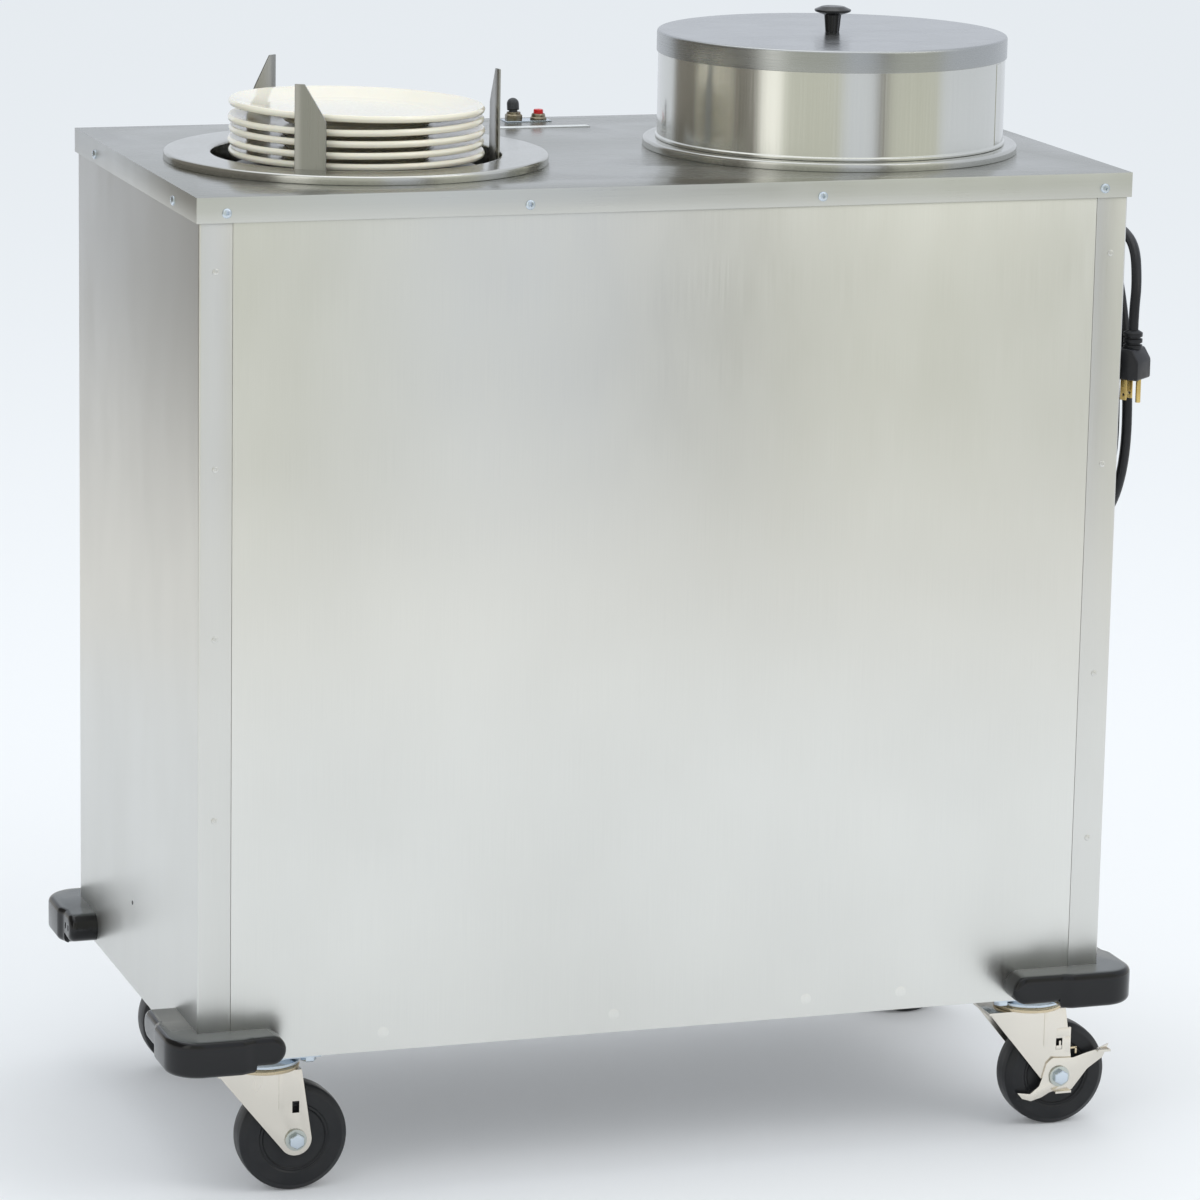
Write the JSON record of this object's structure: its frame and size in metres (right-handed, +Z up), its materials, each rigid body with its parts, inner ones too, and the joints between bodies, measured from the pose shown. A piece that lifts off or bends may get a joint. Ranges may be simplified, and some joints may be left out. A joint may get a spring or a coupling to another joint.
{
  "type": "plate dispenser cart",
  "caption": "Closed heated plate dispenser cart with self-levelling plate tubes, a lift-off cover, corner bumpers, swivel casters and a hung mains cord.",
  "frame": {"origin": "on the ground under the middle of the cabinet's folded top and panels", "axes": "+X right along the long front, +Y to the rear, +Z up"},
  "size_m": [0.944, 0.532, 1.049],
  "materials": {
    "brushed_steel_panels": "brushed stainless sheet",
    "polished_steel": "polished spun stainless",
    "plain_steel": "mill-finish sheet",
    "plated_steel": "bright zinc plate",
    "spring_steel": "wire",
    "black_vinyl": "glossy moulded vinyl",
    "wheel_rubber": "satin hard rubber",
    "cord_jacket": "satin rubber jacket",
    "black_plastic": "moulded phenolic",
    "red_lens": "translucent red",
    "brass": "plain",
    "ceramic": null,
    "dark_housing": "painted"
  },
  "bodies": {
    "cabinet": {"back_panel": "brushed_steel_panels", "bottom_pan": "plain_steel", "bumper_front_left": "black_vinyl", "bumper_front_right": "black_vinyl", "bumper_rear_left": "black_vinyl", "bumper_rear_right": "black_vinyl", "caster_bolts": "plated_steel", "caster_channels": "plain_steel", "caster_plates": "plated_steel", "control_plate": "plain_steel", "cord_coil": "cord_jacket", "cord_exit_lead": "cord_jacket", "cord_hook": "plain_steel", "cord_plug": "cord_jacket", "cord_plug_lead": "cord_jacket", "front_panel": "brushed_steel_panels", "guide_posts_left": "plain_steel", "guide_posts_right": "plain_steel", "lip_screws": "plated_steel", "pilot_bezel": "plated_steel", "pilot_lens": "red_lens", "plug_blades": "brass", "ring_left": "polished_steel", "ring_right": "polished_steel", "side_panel_left": "brushed_steel_panels", "side_panel_right": "brushed_steel_panels", "springs_left": "spring_steel", "springs_right": "spring_steel", "strain_relief": "cord_jacket", "strip_heaters": "plain_steel", "switch_body": "dark_housing", "switch_nut": "plated_steel", "thermostat": "dark_housing", "top_panel": "brushed_steel_panels"},
    "carrier_left": {"carrier_left": "plain_steel"},
    "carrier_right": {"carrier_right": "plain_steel"},
    "plate_stack": {"plates_below": "ceramic"},
    "plate_top": {"plate_top": "ceramic"},
    "cover": {"cover_shell": "brushed_steel_panels", "cover_cap": "brushed_steel_panels", "cover_knob": "black_plastic"},
    "toggle": {"toggle_boot": "black_plastic"},
    "fork_front_left": {"fork_front_left": "plated_steel", "axle_front_left": "plated_steel"},
    "wheel_front_left": {"wheel_front_left": "wheel_rubber"},
    "fork_front_right": {"fork_front_right": "plated_steel", "axle_front_right": "plated_steel"},
    "wheel_front_right": {"wheel_front_right": "wheel_rubber"},
    "fork_rear_left": {"fork_rear_left": "plated_steel", "axle_rear_left": "plated_steel"},
    "wheel_rear_left": {"wheel_rear_left": "wheel_rubber"},
    "fork_rear_right": {"fork_rear_right": "plated_steel", "axle_rear_right": "plated_steel"},
    "wheel_rear_right": {"wheel_rear_right": "wheel_rubber"},
    "brake_front_right": {"brake_lever_front_right": "plated_steel"},
    "brake_rear_right": {"brake_lever_rear_right": "plated_steel"}
  },
  "joints": [
    {"name": "carrier_left_slide", "type": "slide", "parent": "cabinet", "child": "carrier_left", "axis": [0, 0, 1], "range_m": [-0.44, 0], "stiffness_N_per_m": 430, "springref_m": 0.1, "deforming": ["springs_left"]},
    {"name": "carrier_right_slide", "type": "slide", "parent": "cabinet", "child": "carrier_right", "axis": [0, 0, 1], "range_m": [-0.44, 0], "stiffness_N_per_m": 430, "springref_m": 0.1, "deforming": ["springs_right"]},
    {"name": "plates_lift", "type": "slide", "parent": "carrier_left", "child": "plate_stack", "axis": [0, 0, 1], "range_m": [0, 0.25]},
    {"name": "top_plate_lift", "type": "slide", "parent": "plate_stack", "child": "plate_top", "axis": [0, 0, 1], "range_m": [0, 0.1]},
    {"name": "cover_lift", "type": "slide", "parent": "cabinet", "child": "cover", "axis": [0, 0, 1], "range_m": [0, 0.2]},
    {"name": "toggle_flip", "type": "hinge", "parent": "cabinet", "child": "toggle", "pos_m": [-0.012, 0.214, 0.9196], "axis": [1, 0, 0], "range_deg": [0, 24]},
    {"name": "swivel_front_left", "type": "hinge", "parent": "cabinet", "child": "fork_front_left", "pos_m": [-0.362, -0.187, 0.131], "axis": [0, 0, 1], "continuous": true},
    {"name": "roll_front_left", "type": "hinge", "parent": "fork_front_left", "child": "wheel_front_left", "pos_m": [-0.3365, -0.187, 0.0508], "axis": [0, 1, 0], "continuous": true},
    {"name": "swivel_front_right", "type": "hinge", "parent": "cabinet", "child": "fork_front_right", "pos_m": [0.386, -0.187, 0.131], "axis": [0, 0, 1], "continuous": true},
    {"name": "roll_front_right", "type": "hinge", "parent": "fork_front_right", "child": "wheel_front_right", "pos_m": [0.4115, -0.187, 0.0508], "axis": [0, 1, 0], "continuous": true},
    {"name": "swivel_rear_left", "type": "hinge", "parent": "cabinet", "child": "fork_rear_left", "pos_m": [-0.362, 0.187, 0.131], "axis": [0, 0, 1], "continuous": true},
    {"name": "roll_rear_left", "type": "hinge", "parent": "fork_rear_left", "child": "wheel_rear_left", "pos_m": [-0.3365, 0.187, 0.0508], "axis": [0, 1, 0], "continuous": true},
    {"name": "swivel_rear_right", "type": "hinge", "parent": "cabinet", "child": "fork_rear_right", "pos_m": [0.386, 0.187, 0.131], "axis": [0, 0, 1], "continuous": true},
    {"name": "roll_rear_right", "type": "hinge", "parent": "fork_rear_right", "child": "wheel_rear_right", "pos_m": [0.4115, 0.187, 0.0508], "axis": [0, 1, 0], "continuous": true},
    {"name": "brake_front_right", "type": "hinge", "parent": "fork_front_right", "child": "brake_front_right", "pos_m": [0.4115, -0.208, 0.0508], "axis": [0, 1, 0], "range_deg": [0, 18]},
    {"name": "brake_rear_right", "type": "hinge", "parent": "fork_rear_right", "child": "brake_rear_right", "pos_m": [0.4115, 0.166, 0.0508], "axis": [0, 1, 0], "range_deg": [0, 18]}
  ]
}
